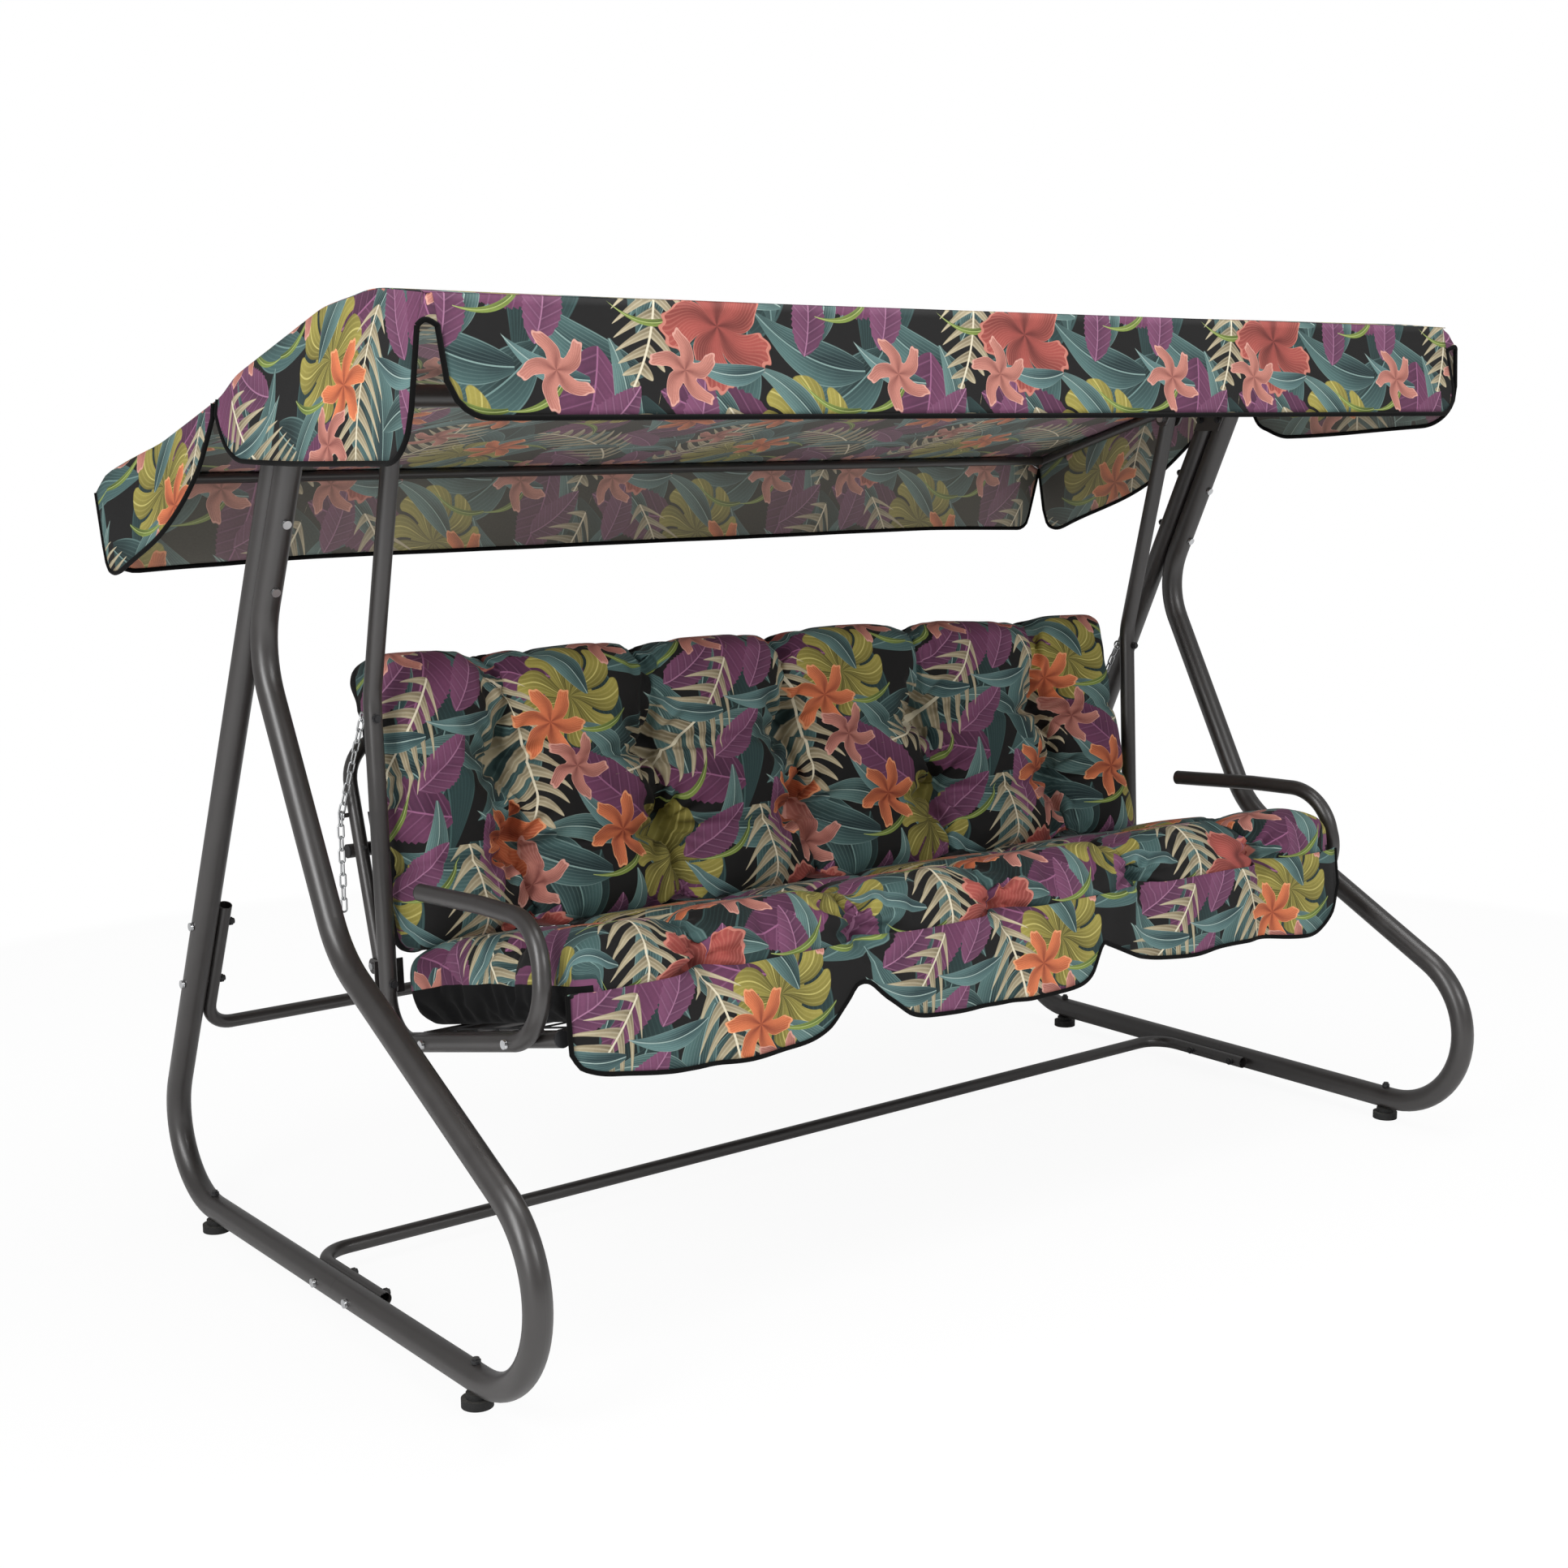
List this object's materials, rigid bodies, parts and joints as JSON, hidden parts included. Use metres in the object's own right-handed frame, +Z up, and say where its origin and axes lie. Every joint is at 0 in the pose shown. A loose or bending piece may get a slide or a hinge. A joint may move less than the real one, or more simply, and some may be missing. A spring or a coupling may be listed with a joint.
{
  "type": "porch swing seat",
  "caption": "Garden swing seat: two bent-tube leg frames, hanging seat with armrests, reclining back on chains, padded cushions and a tilting cloth canopy with valances.",
  "frame": {"origin": "on the ground, in the middle between the two side frames and midway between their front and rear ends", "axes": "+X to the right-hand end of the seat as seen from the front, -Y to the front, where people sit down, +Z up"},
  "size_m": [2.3126, 1.3259, 1.6562],
  "materials": {
    "frame_paint": "satin",
    "zinc": "satin",
    "black_plastic": "satin",
    "black_rubber": "matte",
    "net_wire": "satin",
    "printed_cloth": "matte"
  },
  "bodies": {
    "stand": {"leg_front_left": "frame_paint", "leg_front_right": "frame_paint", "leg_rear_left": "frame_paint", "leg_rear_right": "frame_paint", "rail_sleeves": "zinc", "cross_tube_low": "frame_paint", "cross_tube_rear": "frame_paint", "top_beam": "frame_paint", "swing_pins": "zinc", "foot_front_left": "black_rubber", "foot_front_right": "black_rubber", "foot_rear_left": "black_rubber", "foot_rear_right": "black_rubber", "foot_bolts": "black_plastic", "stand_bolts": "zinc", "stand_caps": "black_plastic"},
    "swing": {"hanger_left": "frame_paint", "hanger_right": "frame_paint", "hinge_bracket_left": "frame_paint", "hinge_bracket_right": "frame_paint", "hinge_pins": "zinc", "seat_rail_left": "frame_paint", "seat_rail_right": "frame_paint", "seat_front_bar": "frame_paint", "seat_rear_bar": "frame_paint", "seat_net": "net_wire", "seat_springs": "zinc", "armrest_left": "frame_paint", "armrest_right": "frame_paint", "seat_plugs": "black_plastic", "swing_bolts": "zinc", "swing_caps": "black_plastic", "chain_eyes": "zinc", "seat_cushion": "printed_cloth", "seat_apron": "printed_cloth"},
    "backrest": {"back_post_left": "frame_paint", "back_post_right": "frame_paint", "back_hoop": "frame_paint", "back_brace": "frame_paint", "brace_plugs": "black_plastic", "brace_bolts": "zinc", "back_net": "net_wire", "back_cushion": "printed_cloth"},
    "chain_left": {"chain_left": "zinc"},
    "chain_right": {"chain_right": "zinc"},
    "chain_tail_left": {"chain_tail_left": "zinc"},
    "chain_tail_right": {"chain_tail_right": "zinc"},
    "canopy": {"canopy_tube_left": "frame_paint", "canopy_tube_right": "frame_paint", "canopy_front_bar": "frame_paint", "canopy_rear_bar": "frame_paint", "tilt_bolts": "zinc", "tilt_knobs": "black_plastic", "canopy_roof": "printed_cloth", "front_valance": "printed_cloth", "rear_valance": "printed_cloth", "flap_front_left": "printed_cloth", "flap_front_right": "printed_cloth", "flap_rear_left": "printed_cloth", "flap_rear_right": "printed_cloth"}
  },
  "joints": [
    {"name": "swing", "type": "hinge", "parent": "stand", "child": "swing", "pos_m": [0, 0.0297, 1.47], "axis": [1, 0, 0], "range_deg": [-12, 12]},
    {"name": "backrest_recline", "type": "hinge", "parent": "swing", "child": "backrest", "pos_m": [0, 0.18831, 0.52995], "axis": [-1, 0, 0], "range_deg": [0, 36]},
    {"name": "canopy_tilt", "type": "hinge", "parent": "stand", "child": "canopy", "pos_m": [0, 0.04341, 1.526], "axis": [1, 0, 0], "range_deg": [-10, 10]},
    {"name": "chain_left_hook", "type": "hinge", "parent": "swing", "child": "chain_left", "pos_m": [-0.9305, 0.17144, 0.973], "axis": [1, 0, 0], "range_deg": [-1, 12.88]},
    {"name": "chain_left_tail", "type": "hinge", "parent": "chain_left", "child": "chain_tail_left", "pos_m": [-0.9305, 0.26745, 0.79067], "axis": [1, 0, 0], "range_deg": [-1, 28.77]},
    {"name": "chain_right_hook", "type": "hinge", "parent": "swing", "child": "chain_right", "pos_m": [0.9305, 0.17144, 0.973], "axis": [1, 0, 0], "range_deg": [-1, 12.88]},
    {"name": "chain_right_tail", "type": "hinge", "parent": "chain_right", "child": "chain_tail_right", "pos_m": [0.9305, 0.26745, 0.79067], "axis": [1, 0, 0], "range_deg": [-1, 28.77]}
  ],
  "couplings": [
    {"joint": "chain_left_hook", "follows": "backrest_recline", "ratio": 0.33},
    {"joint": "chain_left_tail", "follows": "backrest_recline", "ratio": 0.7714},
    {"joint": "chain_right_hook", "follows": "backrest_recline", "ratio": 0.33},
    {"joint": "chain_right_tail", "follows": "backrest_recline", "ratio": 0.7714}
  ]
}
